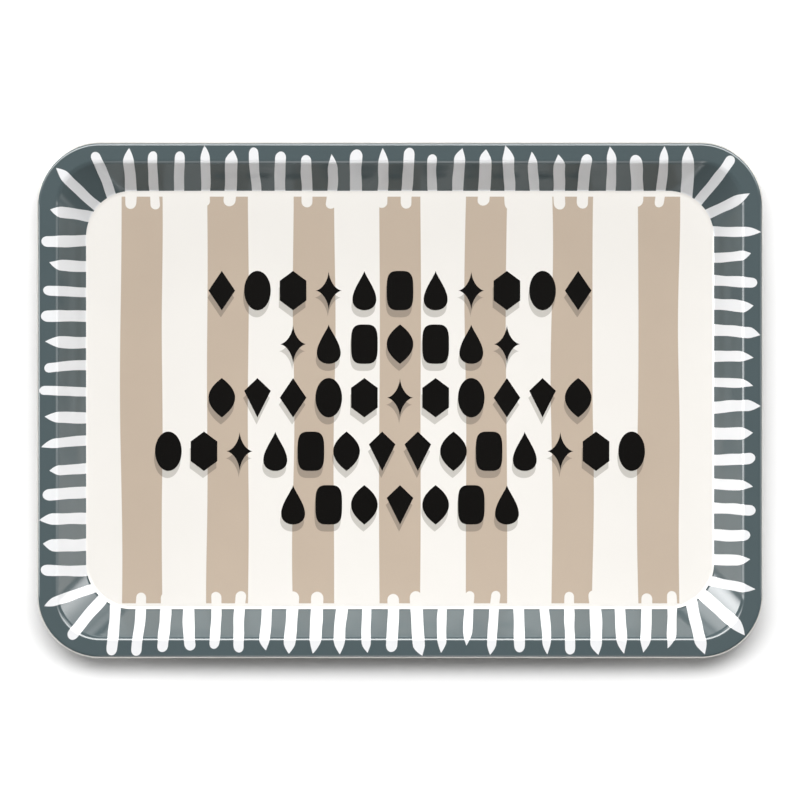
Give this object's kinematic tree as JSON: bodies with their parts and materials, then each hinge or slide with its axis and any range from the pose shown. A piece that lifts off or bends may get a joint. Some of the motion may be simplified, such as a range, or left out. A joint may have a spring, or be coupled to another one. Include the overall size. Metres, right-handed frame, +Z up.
{
  "type": "serving tray",
  "caption": "Shallow rectangular metal serving tray with rounded corners, sloping walls and a flat lip whose rolled edge closes round a stiffening wire, on low rubber feet.",
  "frame": {"origin": "on the table under the middle of the tray", "axes": "+X along the tray's length to the right, +Y across it towards the back side where the rim wire's ends meet, +Z up out of the well"},
  "size_m": [0.38, 0.27, 0.02],
  "materials": {
    "printed_tinplate": "gloss varnish over a printed pattern",
    "wire_steel": "drawn, bare",
    "foot_rubber": "matt"
  },
  "bodies": {
    "root": {"tray_pan": "printed_tinplate", "rim_wire": "wire_steel", "foot_front_left": "foot_rubber", "foot_front_right": "foot_rubber", "foot_back_left": "foot_rubber", "foot_back_right": "foot_rubber"}
  },
  "joints": []
}
